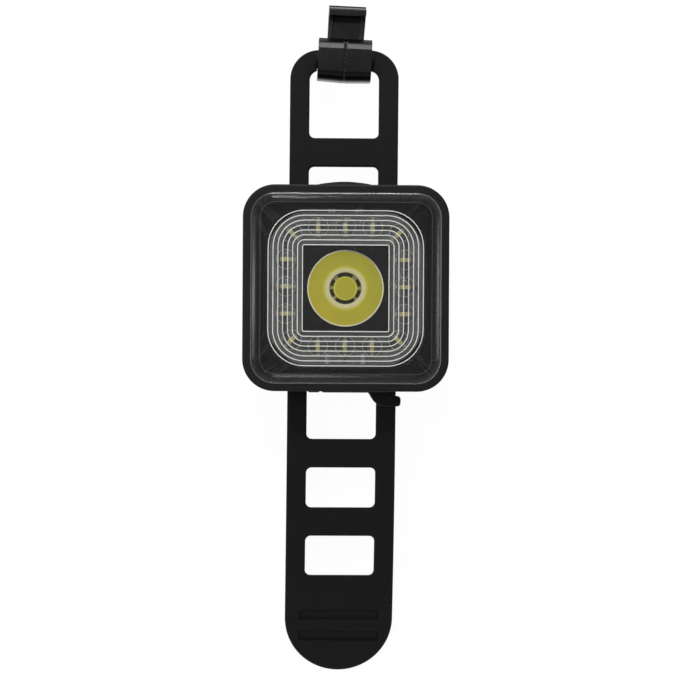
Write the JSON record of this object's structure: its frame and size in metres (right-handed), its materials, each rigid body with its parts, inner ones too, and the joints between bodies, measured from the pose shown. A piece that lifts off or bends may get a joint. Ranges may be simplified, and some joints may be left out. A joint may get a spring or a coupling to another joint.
{
  "type": "bike light",
  "caption": "Square rechargeable bike light with a lamp ring around a central optic, on a slotted rubber strap with a hook and a bar saddle.",
  "frame": {"origin": "where the light's optical axis meets the axis of the bar that it is strapped to", "axes": "+X along the bar, +Y along the strap towards its hook, +Z the beam's direction"},
  "size_m": [0.042, 0.141, 0.0365],
  "materials": {
    "black_case": "fine satin mould finish",
    "hook_plastic": "smooth satin plastic",
    "strap_rubber": "matt moulded rubber",
    "saddle_rubber": "matt moulded rubber",
    "button_rubber": "matt moulded rubber",
    "cover_rubber": "matt moulded rubber",
    "seal_rubber": "soft rubber",
    "clear_lens": "clear polycarbonate",
    "clear_optic": "clear acrylic",
    "board_black": "black solder mask",
    "board_green": "green solder mask",
    "lamp_white": "white lamp body with yellow phosphor",
    "lamp_yellow": "yellow phosphor under a clear dome",
    "chip": "ceramic and resin",
    "black_nylon": "nylon",
    "white_nylon": "nylon",
    "holder_black": "matt black plastic",
    "alloy": "bare aluminium",
    "cell_foil": "foil pouch",
    "foam": "closed foam",
    "lead_red": "silicone insulation",
    "socket_steel": "nickel plate",
    "screw_steel": "zinc plate"
  },
  "bodies": {
    "light": {"front_case": "black_case", "rear_cover": "black_case", "saddle_bracket": "black_case", "strap": "strap_rubber", "saddle_pad": "saddle_rubber", "cover_anchor": "cover_rubber", "case_seal": "seal_rubber", "lens_gasket": "seal_rubber", "front_lens": "clear_lens", "lens_array": "clear_lens", "tir_lens": "clear_optic", "led_board": "board_black", "main_board": "board_green", "ring_leds": "lamp_white", "main_emitter": "lamp_yellow", "chip_resistors": "chip", "driver_parts": "chip", "board_link": "black_nylon", "switch_body": "black_nylon", "battery_plug": "white_nylon", "optic_holder": "holder_black", "emitter_board": "alloy", "battery": "cell_foil", "battery_pad": "foam", "battery_leads": "lead_red", "usb_socket": "socket_steel", "case_screws": "screw_steel", "bracket_screws": "screw_steel", "board_screws": "screw_steel"},
    "button": {"power_button": "button_rubber"},
    "plunger": {"switch_plunger": "black_nylon"},
    "cover": {"port_cover": "cover_rubber"},
    "hook": {"hook": "hook_plastic"}
  },
  "joints": [
    {"name": "button_press", "type": "slide", "parent": "light", "child": "button", "axis": [0, -1, 0], "range_m": [0, 0.00035], "stiffness_N_per_m": 4000},
    {"name": "plunger_press", "type": "slide", "parent": "light", "child": "plunger", "axis": [0, -1, 0], "range_m": [0, 0.00035]},
    {"name": "cover_hinge", "type": "hinge", "parent": "light", "child": "cover", "pos_m": [-0.0042, -0.0208, 0.03098], "axis": [0, 0, -1], "range_deg": [0, 105]},
    {"name": "hook_swivel", "type": "hinge", "parent": "light", "child": "hook", "pos_m": [0, 0.04845, 0.01885], "axis": [1, 0, 0], "range_deg": [-45, 100]}
  ],
  "couplings": [
    {"joint": "plunger_press", "follows": "button_press", "ratio": 1}
  ]
}
